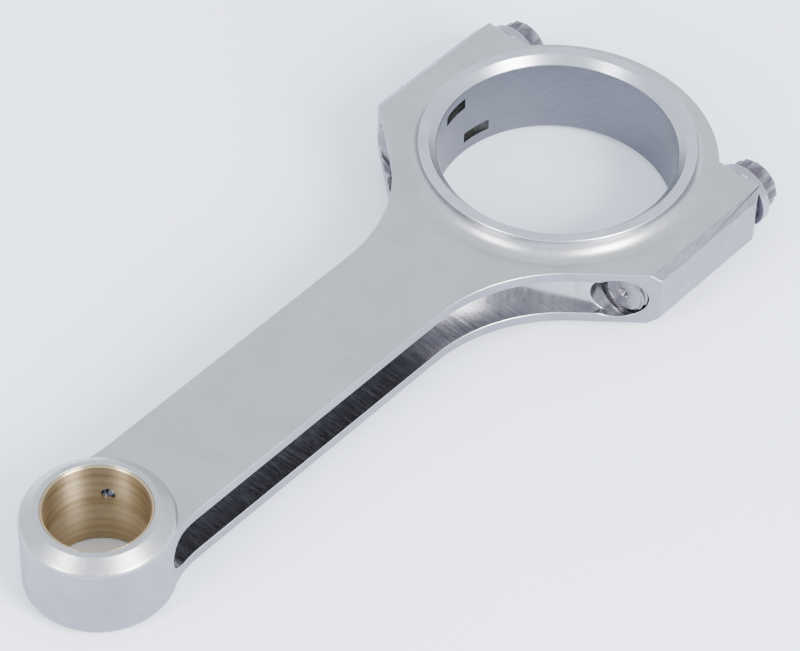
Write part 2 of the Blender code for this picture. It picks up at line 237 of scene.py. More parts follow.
def drawn(name, start, moves, both_sides=False):
    """A flat outline: one point pulled along runs (x, y) and spun along arcs (x, y, degrees, steps)."""
    bpy.ops.mesh.primitive_plane_add(size=1, location=(*start, 0))
    obj = new_primitive(name)
    edit(obj)
    bpy.ops.mesh.merge(type="CENTER")
    here = Vector(start)
    for move in moves:
        if len(move) == 2:
            run = Vector(move) - here
            bpy.ops.mesh.extrude_vertices_move(TRANSFORM_OT_translate={"value": (*run, 0)})
            here = Vector(move)
            continue
        centre, degrees, steps = Vector(move[:2]), move[2], move[3]
        turn = math.radians(degrees)
        # The spin tool turns clockwise about its axis.
        bpy.ops.mesh.spin(steps=steps, angle=turn, center=(*centre, 0), axis=(0, 0, -1))
        here = centre + Matrix.Rotation(turn, 2) @ (here - centre)
    leave_edit()
    if both_sides:
        apply_modifier(obj, "MIRROR", merge_threshold=SAME_SPOT)
    edit(obj)
    bpy.ops.mesh.remove_doubles(threshold=SAME_SPOT)
    bpy.ops.mesh.select_all(action="SELECT")
    bpy.ops.mesh.edge_face_add()
    leave_edit()
    return obj


def block(outline, low, high):
    """Pulls a flat outline up into a solid block."""
    edit(outline)
    bpy.ops.transform.translate(value=(0, 0, low))
    bpy.ops.mesh.extrude_region_move(TRANSFORM_OT_translate={"value": (0, 0, high - low)})
    bpy.ops.mesh.select_all(action="SELECT")
    bpy.ops.mesh.normals_make_consistent(inside=False)
    leave_edit()
    return outline


def turned(name, profile, sides):
    """Turned on the Z axis: a disc pulled up through (radius, height) steps.
    A ring's profile ends where it starts."""
    ring = profile[0] == profile[-1]
    radius, height = profile[0]
    fill = "NOTHING" if ring else "NGON"
    bpy.ops.mesh.primitive_circle_add(vertices=sides, radius=radius, location=(0, 0, height), fill_type=fill)
    obj = new_primitive(name)
    edit(obj)
    for next_radius, next_height in profile[1:]:
        rise = {"value": (0, 0, next_height - height)}
        if ring:
            bpy.ops.mesh.extrude_edges_move(TRANSFORM_OT_translate=rise)
        else:
            bpy.ops.mesh.extrude_region_move(TRANSFORM_OT_translate=rise)
        spread = next_radius / radius
        bpy.ops.transform.resize(value=(spread, spread, 1), center_override=(0, 0, next_height))
        radius, height = next_radius, next_height
    bpy.ops.mesh.select_all(action="SELECT")
    bpy.ops.mesh.remove_doubles(threshold=SAME_SPOT)
    bpy.ops.mesh.select_all(action="SELECT")
    bpy.ops.mesh.normals_make_consistent(inside=False)
    leave_edit()
    return obj


def combine(obj, operation, others):
    """One Boolean between a piece and a group of others, which are used up."""
    group = bpy.data.collections.new(obj.name + " tools")
    bpy.context.scene.collection.children.link(group)
    for other in others:
        group.objects.link(other)
    tools = {"operand_type": "COLLECTION", "collection": group}
    apply_modifier(obj, "BOOLEAN", operation=operation, solver="EXACT", **tools)
    for other in others:
        bpy.data.objects.remove(other)
    bpy.data.collections.remove(group)


def clean(obj):
    """Joins points that a Boolean left side by side and drops the edges and faces without size."""
    edit(obj)
    bpy.ops.mesh.remove_doubles(threshold=SIDE_BY_SIDE)
    bpy.ops.mesh.select_all(action="SELECT")
    bpy.ops.mesh.dissolve_degenerate(threshold=SIDE_BY_SIDE)
    leave_edit()


def break_edges(obj, width):
    """Rounds sharp edges: width(middle, edge) gives each one its breadth in millimetres, 0 to leave it."""
    edit(obj, "EDGE")
    bm = bmesh.from_edit_mesh(obj.data)
    weight = bm.edges.layers.float.new("bevel_weight_edge")
    for edge in bm.edges:
        if len(edge.link_faces) == 2 and edge.calc_face_angle() > SHARP:
            edge[weight] = width((edge.verts[0].co + edge.verts[1].co) / 2, edge)
    bmesh.update_edit_mesh(obj.data)
    leave_edit()
    # With a width of 1 mm, each edge's weight is its own breadth in millimetres.
    apply_modifier(obj, "BEVEL", width=1.0, segments=3, limit_method="WEIGHT", use_clamp_overlap=False)


def shaded(obj):
    """Smooth on curves and blends, and crisp where two faces meet at an edge."""
    only(obj)
    bpy.ops.object.shade_smooth_by_angle(angle=SHARP)
    apply_modifier(obj, "WEIGHTED_NORMAL", keep_sharp=True, weight=100)


def arc_points(x, z, radius, start, end, steps):
    """Points of an arc in a lathe profile, both ends included."""
    turns = [math.radians(start + (end - start) * i / steps) for i in range(steps + 1)]
    return [(x + radius * math.cos(a), z + radius * math.sin(a)) for a in turns]


def both_ways(upper):
    """A lathe profile from the axis outwards at the top, closed by its mirror image at the bottom."""
    return upper + [(r, -z) for r, z in reversed(upper)]


# ---------------------------------------------------------------- the two steel halves


def underside(x):
    """The y of the slanted shoulder face at x."""
    return -SHOULDER_DROP - (SHOULDER - x) * math.tan(SHOULDER_SLOPE)


def rod_outline():
    """Round the small end, through the blend, up the beam, out through the flare and round the shoulder."""
    reach = BEAM + BLEND
    rise = math.sqrt((BOSS + BLEND) ** 2 - reach**2)
    blend_turn = math.degrees(math.atan2(rise, reach))
    flare_turn = 90 - math.degrees(SHOULDER_SLOPE)
    flare_x = BEAM + FLARE
    end_x = flare_x - FLARE * math.cos(math.radians(flare_turn))
    flare_y = underside(end_x) - FLARE * math.sin(math.radians(flare_turn))
    return drawn(
        "h_beam_rod",
        (0, -CENTRES - BOSS),
        [
            (0, -CENTRES, 90 + blend_turn, 56),
            (reach, rise - CENTRES, -blend_turn, 12),
            (BEAM, flare_y),
            (flare_x, flare_y, -flare_turn, 28),
            (SHOULDER, -SHOULDER_DROP),
            (SHOULDER, -PARTING / 2),
            (0, -PARTING / 2),
        ],
        both_sides=True,
    )


def cap_outline():
    """Up the side, across the bolt's seat and round the crown."""
    foot_turn = 90 - math.degrees(math.asin(SEAT / CAP_CROWN))
    foot_x = CAP_CROWN * math.sin(math.radians(foot_turn))
    return drawn(
        "big_end_cap",
        (0, PARTING / 2),
        [
            (SHOULDER, PARTING / 2),
            (SHOULDER, SEAT - SEAT_CORNER[1]),
            (SHOULDER - SEAT_CORNER[0], SEAT),
            (foot_x, SEAT),
            (0, 0, foot_turn, 36),
        ],
        both_sides=True,
    )


def plate_stock():
    """The plate's section across the rod, with the chamfers along the shoulders' sides, pulled out lengthwise
    to well past the cap."""
    in_x, in_z = SHOULDER - SIDE_CHAMFER[0], PLATE - SIDE_CHAMFER[1]
    section = [(SHOULDER, in_z), (in_x, PLATE), (-in_x, PLATE), (-SHOULDER, in_z)]
    section += [(-x, -z) for x, z in section]
    outline = drawn("plate stock", section[0], section[1:] + section[:1])
    past_cap = 60.0
    plate = block(outline, -CENTRES - BOSS - PAST, past_cap)
    return set_down(plate, Matrix.Rotation(-math.pi / 2, 4, "X"))


def ring_stock():
    """The thrust ring: a narrow flat, a slightly rounded rim, and a wide fillet down to the plate."""
    upper = [(CORE, HALF_WIDTH), (RING - RING_RIM, HALF_WIDTH)]
    upper += arc_points(RING - RING_RIM, HALF_WIDTH - RING_RIM, RING_RIM, 90, 0, 4)[1:]
    upper += arc_points(RING + RING_FILLET, PLATE + RING_FILLET, RING_FILLET, 180, 270, 12)
    return turned("ring stock", both_ways(upper), BORE_SIDES)


def boss_stock():
    """The small end: a narrow flat, a wide bevel rounded over to the side, and a tight fillet down to the
    plate. The rounding ends a hair inside the boss's own side, so that the two run into each other."""
    hair = 0.03
    inside = BOSS - hair
    slope = math.atan2(BOSS_DROP, BOSS - BOSS_FACE)
    turn = math.pi / 2 - slope
    corner = HALF_WIDTH - (inside - BOSS_FACE) * math.tan(slope)
    foot = corner - BOSS_ROUNDING * math.tan(turn / 2)
    fillet = foot - PLATE
    upper = [(CORE, HALF_WIDTH), (BOSS_FACE, HALF_WIDTH)]
    upper += arc_points(inside - BOSS_ROUNDING, foot, BOSS_ROUNDING, math.degrees(turn), 0, 6)
    upper += arc_points(inside + fillet, PLATE + fillet, fillet, 180, 270, 6)[1:]
    boss = turned("boss stock", both_ways(upper), BOSS_SIDES)
    return set_down(boss, Matrix.Translation((0, -CENTRES, 0)))


def height_stock():
    """What the rod looks like from its side, wherever the outline reaches: plate, thrust ring and boss."""
    plate = plate_stock()
    combine(plate, "UNION", [ring_stock(), boss_stock()])
    return plate


def big_bore():
    flare = BORE + BORE_CHAMFER + PAST
    top = HALF_WIDTH + PAST
    upper = [(CORE, top), (flare, top), (BORE, HALF_WIDTH - BORE_CHAMFER)]
    return turned("big bore", both_ways(upper), BORE_SIDES)


def small_bore():
    upper = [(CORE, HALF_WIDTH + PAST), (BUSH_SEAT + BORE_BREAK + PAST, HALF_WIDTH + PAST)]
    upper += [(BUSH_SEAT, HALF_WIDTH - BORE_BREAK)]
    bore = turned("small bore", both_ways(upper), BOSS_SIDES)
    return set_down(bore, Matrix.Translation((0, -CENTRES, 0)))


def oil_drill():
    drill = turned("oil drill", [(OIL_HOLE, 0), (OIL_HOLE, BOSS + PAST)], OIL_SIDES)
    turn = Matrix.Rotation(OIL_HOLE_TURN, 4, "Z") @ Matrix.Rotation(-math.pi / 2, 4, "X")
    return set_down(drill, Matrix.Translation((0, -CENTRES, OIL_HOLE_HEIGHT)) @ turn)


def channel_cutter(side):
    """One side channel: its floor seen from above, met by the round-ended slot that the end mill leaves."""
    depth = block(channel_floor(side), -CHANNEL - PAST, CHANNEL + PAST)
    # The slot runs on past the step, into the bolt's hole.
    low, high = -CENTRES + CHANNEL_END + CHANNEL, -20.0
    sides = [(high, -CHANNEL), (high, CHANNEL), (low, CHANNEL)]
    slot = drawn("slot", (low, CHANNEL), [(low, 0, 180, 24)] + sides)
    slot = block(slot, 0, SHOULDER + PAST)
    # The slot's length (drawn as x) turns to run along y, and its pull runs out to the side.
    turn = Matrix(((0, 0, side, 0), (1, 0, 0, 0), (0, 1, 0, 0), (0, 0, 0, 1)))
    set_down(slot, turn)
    edit(slot)
    bpy.ops.mesh.normals_make_consistent(inside=False)
    leave_edit()
    combine(depth, "INTERSECT", [slot])
    return depth


def channel_floor(side):
    """Round the small end, up the web, out through the flare, a ramp, a crease and a shallower step."""
    turn = math.acos(CHANNEL_BOSS / BOSS)
    start = CHANNEL_START + turn
    web = math.acos(WEB / CHANNEL_BOSS)
    run = BOSS * math.sin(turn) + PAST
    first = Vector((CHANNEL_BOSS * math.cos(start), CHANNEL_BOSS * math.sin(start) - CENTRES))
    outer = first + Vector((math.sin(start), -math.cos(start))) * run
    bolt_side = BOLT_X - BOLT_HOLE
    step_end = Vector((bolt_side, underside(bolt_side) + STEP_DEPTH / math.cos(SHOULDER_SLOPE)))
    step = Vector((math.cos(STEP_SLOPE), math.sin(STEP_SLOPE)))
    crease = step_end - STEP_LENGTH * step
    flare_turn = math.pi / 2 - RAMP_SLOPE
    ramp_reach = crease.x - WEB - CHANNEL_FLARE * (1 - math.cos(flare_turn))
    flare_y = crease.y - ramp_reach * math.tan(RAMP_SLOPE) - CHANNEL_FLARE * math.sin(flare_turn)
    past_bolt = step_end + step * BOLT_HOLE
    low_y = underside(past_bolt.x) - PAST
    moves = [
        tuple(first),
        (0, -CENTRES, math.degrees(web - start), 24),
        (WEB, flare_y),
        (WEB + CHANNEL_FLARE, flare_y, -math.degrees(flare_turn), 28),
        tuple(crease),
        tuple(past_bolt),
        (past_bolt.x, low_y),
        (SHOULDER + PAST, low_y),
        (SHOULDER + PAST, outer.y),
        tuple(outer),
    ]
    floor = drawn(f"channel {side}", tuple(outer), moves)
    if side < 0:
        set_down(floor, Matrix.Scale(-1, 4, (1, 0, 0)))
    return floor


def bolt_place(side, y):
    """Stands what was turned on the Z axis on a bolt's axis, its zero at y and its top towards the crown."""
    return Matrix.Translation((side * BOLT_X, y, 0)) @ Matrix.Rotation(-math.pi / 2, 4, "X")


def bolt_drill(side):
    """The bolt's hole, the dowel's seat at the parting face and the spotface under the bolt's flange."""
    seat, depth = DOWEL_SEAT
    end = underside(BOLT_X - BOLT_HOLE) - PAST
    profile = [(BOLT_HOLE, end), (BOLT_HOLE, -depth), (seat, -depth), (seat, depth), (BOLT_HOLE, depth)]
    profile += [(BOLT_HOLE, SEAT), (SPOTFACE, SEAT), (SPOTFACE, CAP_CROWN + PAST)]
    drill = turned(f"bolt drill {side}", profile, HOLE_SIDES)
    return set_down(drill, bolt_place(side, 0))


def tang_slot(half):
    """The slot for a bearing shell's tang: deepest beside the parting face, running out along the bore's
    wall."""
    way = {"rod": -1, "cap": 1}[half]
    height, bottom = TANG_HEIGHT[half], -BORE - TANG_DEPTH[half]
    over, level = 1.0, 2.4
    start = (bottom, -way * over)
    corners = [(bottom, way * level), (-BORE + over, way * (TANG_LENGTH + over))]
    corners += [(-BORE + 4 * over, -way * over), start]
    return block(drawn(f"tang {half}", start, corners), height - TANG_WIDTH / 2, height + TANG_WIDTH / 2)


def steel_half(outline, own_cutters):
    """One half of the rod: its outline pulled up, met by the stock, and cut by the tools."""
    half = block(outline, -HALF_WIDTH - PAST, HALF_WIDTH + PAST)
    combine(half, "INTERSECT", [height_stock()])
    combine(half, "DIFFERENCE", [big_bore(), bolt_drill(1), bolt_drill(-1), *own_cutters])
    clean(half)
    return half


def make_rod():
    channels = [channel_cutter(1), channel_cutter(-1)]
    return steel_half(rod_outline(), [*channels, small_bore(), oil_drill(), tang_slot("rod")])


def make_cap():
    return steel_half(cap_outline(), [tang_slot("cap")])


def edge_width(middle, edge):
    """Edges at the parting face stay whole, because the two halves are cut as one. So do the tang slots'
    edges, which are thin at one end, and the bush seat's, which its cutter has broken."""
    from_pin = math.hypot(middle.x, middle.y)
    if not edge.is_convex or abs(middle.y) < BESIDE_IT:
        return 0
    # A box round both tang slots, with room to spare.
    deep, long, high = 2.6, 9.0, 8.5
    beside_bore = middle.x < 0 and BORE - 0.2 < from_pin < BORE + deep
    if beside_bore and abs(middle.y) < long and abs(middle.z) < high:
        return 0
    if math.hypot(middle.x, middle.y + CENTRES) < BUSH_SEAT + BESIDE_IT:
        return 0
    return EDGE_BREAK


def finish_steel(half):
    break_edges(half, edge_width)
    shaded(half)
    return set_down(half, FRAME_PLACE)


# ---------------------------------------------------------------- bush, bolts and dowels


def make_bush():
    """A ring, turned and cross-drilled, that stops a little short of the boss's faces."""
    top, ease = HALF_WIDTH - BUSH_SHY, 0.1
    low = [(BUSH_BORE + BUSH_LIP, -top), (BUSH_BORE, -top + BUSH_LIP)]
    wall = [(BUSH_BORE, top - BUSH_LIP), (BUSH_BORE + BUSH_LIP, top)]
    rim = [(BUSH_OUTSIDE - ease, top), (BUSH_OUTSIDE, top - ease)]
    back = [(BUSH_OUTSIDE, -top + ease), (BUSH_OUTSIDE - ease, -top), (BUSH_BORE + BUSH_LIP, -top)]
    bush = turned("bronze_bush", low + wall + rim + back, BOSS_SIDES)
    set_down(bush, Matrix.Translation((0, -CENTRES, 0)))
    combine(bush, "DIFFERENCE", [oil_drill()])
    clean(bush)
    shaded(bush)
    return set_down(bush, FRAME_PLACE)


def make_bolt(name, side):
    """A bolt from its tip upwards, with its flange's seat near height 0, and its head joined on."""
    tip, rows_per_turn = -BOLT_LENGTH, 8
    neck = tip + THREAD_LENGTH
    # A dimple in the tip, the tip's flat and its edge.
    rows = [(0.3, tip + 1.1), (1.3, tip), (4.4, tip), (4.65, tip + TIP_EDGE)]
    thread_rows = int(rows_per_turn * THREAD_LENGTH / PITCH)
    rows += [(BOLT, tip + TIP_EDGE + i * PITCH / rows_per_turn) for i in range(1, thread_rows)]
    # The shank, which widens under the flange.
    rows += [(SHANK, neck), (SHANK, neck + 5), (SHANK, -6), (SHANK, -0.9), (SHANK + 0.6, -0.27)]
    # The flange: its eased rim, and a cone from the rim up to the head.
    rows += [(BOLT_FLANGE - 0.15, -0.26), (BOLT_FLANGE, -0.1), (BOLT_FLANGE, FLANGE_RIM)]
    rows += [(BOLT_FLANGE - 0.12, FLANGE_RIM + 0.2), (BOLT_FLANGE - 0.35, FLANGE_RIM + 0.3)]
    rows += [(HEAD + 0.25, FLANGE_THICKNESS), (0.3, FLANGE_THICKNESS)]
    bolt = turned(name, rows, BOLT_SIDES)
    roll_thread(bolt, tip, neck)
    combine(bolt, "UNION", [twelve_point_head(name)])
    clean(bolt)
    shaded(bolt)
    set_down(bolt, bolt_place(side, SEAT + SEAT_GAP))
    return set_down(bolt, FRAME_PLACE)


def roll_thread(bolt, tip, neck):
    """Moves the thread's rows in and out along a helix, with a narrow flat on each crest and in each root."""
    steepness, crest_flat = 1.35, 0.2
    for vert in bolt.data.vertices:
        if tip + 0.1 < vert.co.z < neck - 0.05 and vert.co.xy.length > THREAD_ROOT:
            turns = (vert.co.z - tip) / PITCH - math.atan2(vert.co.y, vert.co.x) / math.tau
            flank = abs(2 * (turns % 1) - 1)
            depth = THREAD_DEPTH * max(0.0, min(1.0, steepness * flank - crest_flat))
            lead = min(1.0, vert.co.z - tip)
            crest = THREAD_START + (BOLT - THREAD_START) * lead
            radius = max(THREAD_ROOT, crest - depth * lead)
            vert.co.xy = vert.co.xy.normalized() * min(radius, BOLT)


def twelve_point_head(name):
    """Twelve flat-topped points round a barrel, with a domed chamfer over their ends and a hollow on top."""
    points, half_flat, flat_drop = 12, 0.09, 0.08
    one_point = [(-half_flat, flat_drop), (0.0, 0.0), (half_flat, flat_drop), (0.5, HEAD_VALLEY)]
    corners = []
    for i in range(points):
        for turn, drop in one_point:
            radius = HEAD - drop
            a = math.tau * (i + turn) / points
            corners.append((radius * math.cos(a), radius * math.sin(a)))
    in_flange, top = 1.6, FLANGE_THICKNESS + HEAD_HEIGHT
    head = block(drawn(name + " head", corners[0], corners[1:] + corners[:1]), in_flange, top + 0.5)
    # From inside the flange: past the points, in over their ends to the flat top, and down into the hollow.
    form = [(0.4, 0.5), (7.6, 0.5), (7.6, top - 1.5), (HEAD, top - 0.75), (5.35, top - 0.05), (5.1, top)]
    form += [(2.3, top), (0.4, top - 1.1)]
    combine(head, "INTERSECT", [turned(name + " form", form, HEAD_SIDES)])
    return head


def make_dowel(name, side):
    """A hollow sleeve with chamfered ends, half in the rod and half in the cap."""
    end, eased_end = DOWEL_REACH, DOWEL_REACH - DOWEL_CHAMFER
    bore, eased_bore = DOWEL_BORE, DOWEL_BORE + DOWEL_CHAMFER
    outside, eased_outside = DOWEL, DOWEL - DOWEL_CHAMFER
    profile = [(bore, -eased_end), (bore, eased_end), (eased_bore, end), (eased_outside, end)]
    profile += [(outside, eased_end), (outside, -eased_end), (eased_outside, -end), (eased_bore, -end)]
    dowel = turned(name, profile + profile[:1], HOLE_SIDES)
    shaded(dowel)
    set_down(dowel, bolt_place(side, 0))
    return set_down(dowel, FRAME_PLACE)


# ---------------------------------------------------------------- finishes


def linear(hex_colour):
    """A hex colour as seen, turned to the linear values that light works in."""
    parts = [int(hex_colour[i : i + 2], 16) / 255 for i in (1, 3, 5)]
    return (*[c / 12.92 if c <= 0.04045 else ((c + 0.055) / 1.055) ** 2.4 for c in parts], 1)


def add(tree, kind, output, inputs, **settings):
    """Adds a node with its settings, its values and its links, and hands back one of its outputs.
    A colour mix has its factor and its two colours at 0, 6 and 7, and its result at 2."""
    made = tree.nodes.new("ShaderNode" + kind)
    for key, value in settings.items():
        setattr(made, key, value)
    for socket, value in inputs.items():
        if isinstance(value, bpy.types.NodeSocket):
            tree.links.new(value, made.inputs[socket])
        else:
            made.inputs[socket].default_value = value
    return made.outputs[output]


def begun(name, **sockets):
    """A new material with its constants on the shader's own sockets, and the place on the object in
    millimetres."""
    material = bpy.data.materials.new(name)
    material.use_nodes = True
    tree = material.node_tree
    shader = tree.nodes["Principled BSDF"]
    for socket, value in sockets.items():
        shader.inputs[socket.replace("_", " ").title()].default_value = value
    place = add(tree, "TexCoord", "Object", {})
    place = add(tree, "VectorMath", 0, {0: place, 1: (1000, 1000, 1000)}, operation="MULTIPLY")
    return material, tree, shader, place


def finished(tree, shader, colour, roughness, height, depth, tangent=None):
    """Wires a colour, a roughness and a relief of a given depth in millimetres into the shader."""
    tree.links.new(colour, shader.inputs["Base Color"])
    tree.links.new(roughness, shader.inputs["Roughness"])
    bump = add(tree, "Bump", 0, {"Height": height, "Distance": depth / 1000, "Strength": 1.0})
    tree.links.new(bump, shader.inputs["Normal"])
    if tangent:
        tree.links.new(tangent, shader.inputs["Tangent"])


def from_axis(tree, place, centre):
    """The level step from an upright axis to the place."""
    out = add(tree, "VectorMath", 0, {0: place, 1: centre}, operation="SUBTRACT")
    return add(tree, "VectorMath", 0, {0: out, 1: (1, 1, 0)}, operation="MULTIPLY")


def way_round(tree, out):
    """The direction round that axis, along the lines that turning leaves."""
    way = add(tree, "VectorMath", 0, {0: (0, 0, 1), 1: out}, operation="CROSS_PRODUCT")
    return add(tree, "VectorMath", 0, {0: way}, operation="NORMALIZE")


# Most of a noise lies between these values.
NOISE = {"From Min": 0.3, "From Max": 0.7}
BIG_END = (0.0, big_end_y * 1000, 0.0)
SMALL_END = (0.0, big_end_y * 1000 - CENTRES, 0.0)


def shot_peened_steel():
    """Forged steel, milled all over and shot-peened: a pale satin, faintly cloudy, dimpled by the shot, with
    painted shade on its upright sides. The dimples are 0.5 mm across, about twice the real ones, so that they
    still show from arm's length."""
    material, tree, shader, place = begun("shot_peened_forged_steel", metallic=1.0)
    cloud = add(tree, "TexNoise", "Fac", {"Vector": place, "Scale": 1 / 11, "Detail": 6.0, "Roughness": 0.6})
    cloud = add(tree, "MapRange", 0, {"Value": cloud, "From Min": 0.35, "From Max": 0.65})
    upper = add(tree, "Mix", 2, {0: cloud, 6: linear("#A3A2A1"), 7: linear("#ACABAA")}, data_type="RGBA")
    # Painted shade: a darker copy of the colour, for the upright sides.
    side = add(tree, "Mix", 2, {0: cloud, 6: linear("#80818A"), 7: linear("#8B8C94")}, data_type="RGBA")
    # Painted shade: the upright sides take the darker side colour, for the shade they stand in, and the flat
    # faces the upper one.
    side_shade_mix = add(tree, "SeparateXYZ", "Z", {0: add(tree, "NewGeometry", "Normal", {})})
    side_shade_mix = add(tree, "Math", 0, {0: side_shade_mix}, operation="ABSOLUTE")
    side_shade_mix = add(tree, "MapRange", 0, {"Value": side_shade_mix, "From Max": 0.7})
    colour = add(tree, "Mix", 2, {0: side_shade_mix, 6: side, 7: upper}, data_type="RGBA")
    grain = add(tree, "TexNoise", "Fac", {"Vector": place, "Scale": 1 / 0.9, "Detail": 3.0})
    roughness = add(tree, "MapRange", 0, {"Value": grain, **NOISE, "To Min": 0.29, "To Max": 0.37})
    shot = {"Vector": place, "Scale": 1 / 0.5, "Smoothness": 0.6}
    dimple = add(tree, "TexVoronoi", "Distance", shot, feature="SMOOTH_F1")
    finished(tree, shader, colour, roughness, dimple, 0.010)
    return material


def honed_steel():
    """The big bore, honed: a clean blue-grey wall with a fine crossed pattern that softens what it
    mirrors."""
    material, tree, shader, place = begun("honed_bore_steel", metallic=1.0)
    out = add(tree, "VectorMath", 0, {0: place, 1: BIG_END}, operation="SUBTRACT")
    parts = add(tree, "SeparateXYZ", 0, {0: out}).node.outputs
    turn = add(tree, "Math", 0, {0: parts["Y"], 1: parts["X"]}, operation="ARCTAN2")
    arc = add(tree, "Math", 0, {0: turn, 1: BORE}, operation="MULTIPLY")
    waves = []
    for lean in (0.55, -0.55):
        # Hone lines 0.5 mm apart: coarser than the stone leaves them, so that the crossing shows.
        line = add(tree, "Math", 0, {0: arc, 1: lean, 2: parts["Z"]}, operation="MULTIPLY_ADD")
        drift = add(tree, "Math", 0, {0: arc, 1: 0.05}, operation="MULTIPLY")
        at = add(tree, "CombineXYZ", 0, {"X": line, "Y": drift})
        waves.append(add(tree, "TexNoise", "Fac", {"Vector": at, "Scale": 1 / 0.5, "Detail": 1.0}))
    height = add(tree, "Math", 0, {0: waves[0], 1: waves[1]}, operation="ADD")
    tone = add(tree, "MapRange", 0, {"Value": height, "From Min": 0.7, "From Max": 1.3})
    colour = add(tree, "Mix", 2, {0: tone, 6: linear("#6F7079"), 7: linear("#76777F")}, data_type="RGBA")
    roughness = add(tree, "MapRange", 0, {"Value": tone, "To Min": 0.46, "To Max": 0.4})
    finished(tree, shader, colour, roughness, height, 0.0008)
    return material


def turned_steel():
    """The thrust faces and the bore's chamfers, faced on a lathe: rings of fine lines round the crankpin axis
    that draw each highlight out across them. The parting faces share this bright, fine finish."""
    streaks = {"anisotropic": 0.45, "anisotropic_rotation": 0.25}
    material, tree, shader, place = begun("faced_and_chamfered_steel", metallic=1.0, **streaks)
    out = from_axis(tree, place, BIG_END)
    radius = add(tree, "VectorMath", "Value", {0: out}, operation="LENGTH")
    # Turning lines 0.3 mm apart, wandering a little from line to line.
    line = add(tree, "CombineXYZ", 0, {"X": radius})
    height = add(tree, "TexNoise", "Fac", {"Vector": line, "Scale": 1 / 0.3, "Detail": 2.0})
    stain = add(tree, "TexNoise", "Fac", {"Vector": place, "Scale": 1 / 7, "Detail": 5.0})
    tone = add(tree, "MapRange", 0, {"Value": stain, **NOISE})
    colour = add(tree, "Mix", 2, {0: tone, 6: linear("#AAABAF"), 7: linear("#B8B9BD")}, data_type="RGBA")
    roughness = add(tree, "MapRange", 0, {"Value": height, **NOISE, "To Min": 0.24, "To Max": 0.34})
    finished(tree, shader, colour, roughness, height, 0.002, way_round(tree, out))
    return material


def end_milled_steel():
    """The side channels and the bolts' holes, machined and not peened: darker and glossy, with the cutter's
    fine steps across the run."""
    material, tree, shader, place = begun("end_milled_steel", metallic=1.0)
    step = add(tree, "VectorMath", 0, {0: place, 1: (0.12, 1.0, 0.12)}, operation="MULTIPLY")
    # Cutter steps 0.8 mm apart.
    height = add(tree, "TexNoise", "Fac", {"Vector": step, "Scale": 1 / 0.8, "Detail": 3.0})
    tone = add(tree, "MapRange", 0, {"Value": height, **NOISE})
    colour = add(tree, "Mix", 2, {0: tone, 6: linear("#99989B"), 7: linear("#ABAAAD")}, data_type="RGBA")
    roughness = add(tree, "MapRange", 0, {"Value": tone, "To Min": 0.16, "To Max": 0.26})
    finished(tree, shader, colour, roughness, height, 0.004)
    return material


def rough_milled_steel():
    """The chamfers along the shoulders, run over quickly by a milling cutter and worn by handling: mottled
    and darker, with torn spots that catch the light."""
    material, tree, shader, place = begun("rough_milled_steel", metallic=1.0)
    run = add(tree, "VectorMath", 0, {0: place, 1: (1.0, 0.45, 1.0)}, operation="MULTIPLY")
    torn = add(tree, "TexNoise", "Fac", {"Vector": run, "Scale": 1 / 1.3, "Detail": 6.0, "Roughness": 0.65})
    tone = add(tree, "MapRange", 0, {"Value": torn, "From Min": 0.38, "From Max": 0.62})
    colour = add(tree, "Mix", 2, {0: tone, 6: linear("#77757D"), 7: linear("#97959D")}, data_type="RGBA")
    roughness = add(tree, "MapRange", 0, {"Value": tone, "To Min": 0.42, "To Max": 0.28})
    finished(tree, shader, colour, roughness, torn, 0.03)
    return material


def slot_shade_steel():
    """The tang slots: painted shade, a nearly black mottle that stands in for the shade deep in the slots,
    rougher where lighter.
    """
    material, tree, shader, place = begun("painted_shade_slot_steel", metallic=0.6)
    slot_mottle = add(tree, "TexNoise", "Fac", {"Vector": place, "Scale": 1 / 0.8, "Detail": 4.0})
    tone = add(tree, "MapRange", 0, {"Value": slot_mottle, "From Min": 0.35, "From Max": 0.65})
    # Painted shade: nearly black colours for the shade inside the slots.
    colour = add(tree, "Mix", 2, {0: tone, 6: linear("#1F1F1E"), 7: linear("#3E3E3C")}, data_type="RGBA")
    roughness = add(tree, "MapRange", 0, {"Value": tone, "To Min": 0.35, "To Max": 0.55})
    finished(tree, shader, colour, roughness, slot_mottle, 0.02)
    return material


def bored_bronze():
    """The bush, bored to size: pale golden bronze with rings of tool marks that draw its highlights out into
    upright streaks, and a few darker rings where the tool dwelt."""
    streaks = {"anisotropic": 0.9, "anisotropic_rotation": 0.25}
    material, tree, shader, place = begun("bored_bronze", metallic=1.0, **streaks)
    way = way_round(tree, from_axis(tree, place, SMALL_END))
    # Tool marks 0.35 mm apart, uneven round the bore.
    marks = add(tree, "VectorMath", 0, {0: place, 1: (0.015, 0.015, 1.0)}, operation="MULTIPLY")
    height = add(tree, "TexNoise", "Fac", {"Vector": marks, "Scale": 1 / 0.35, "Detail": 3.0})
    dwelt = add(tree, "TexNoise", "Fac", {"Vector": marks, "Scale": 1 / 1.6, "Detail": 2.0})
    tone = add(tree, "MapRange", 0, {"Value": dwelt, "From Min": 0.32, "From Max": 0.6})
    colour = add(tree, "Mix", 2, {0: tone, 6: linear("#9C8867"), 7: linear("#B5A282")}, data_type="RGBA")
    roughness = add(tree, "MapRange", 0, {"Value": height, **NOISE, "To Min": 0.33, "To Max": 0.43})
    finished(tree, shader, colour, roughness, height, 0.003, way)
    return material


